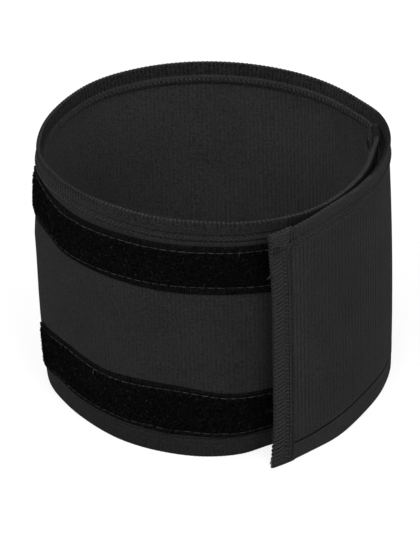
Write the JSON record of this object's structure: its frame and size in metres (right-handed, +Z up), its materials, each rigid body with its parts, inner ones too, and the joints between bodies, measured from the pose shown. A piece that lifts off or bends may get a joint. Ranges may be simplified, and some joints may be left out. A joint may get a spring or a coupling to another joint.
{
  "type": "elastic armband",
  "caption": "Wide black knitted elastic armband, wrapped on itself and held by hook-and-loop tapes, standing on its rim as an open ring with the hemmed free end flared.",
  "frame": {"origin": "middle of the bounding box, on the ground", "axes": "+Z up along the arm, from the lower rim to the upper rim; -Y towards the side where the free end lies over the tapes"},
  "size_m": [0.1282, 0.128, 0.0958],
  "materials": {
    "elastic": "matt knitted elastic with fine upright ribs",
    "loop_tape": "soft looped pile between flat selvedges",
    "hook_tape": "stiff woven tape with fine hooks"
  },
  "bodies": {
    "root": {"band": "elastic", "loop_strip_upper": "loop_tape", "loop_strip_lower": "loop_tape", "hook_strip_upper": "hook_tape", "hook_strip_lower": "hook_tape"}
  },
  "joints": []
}
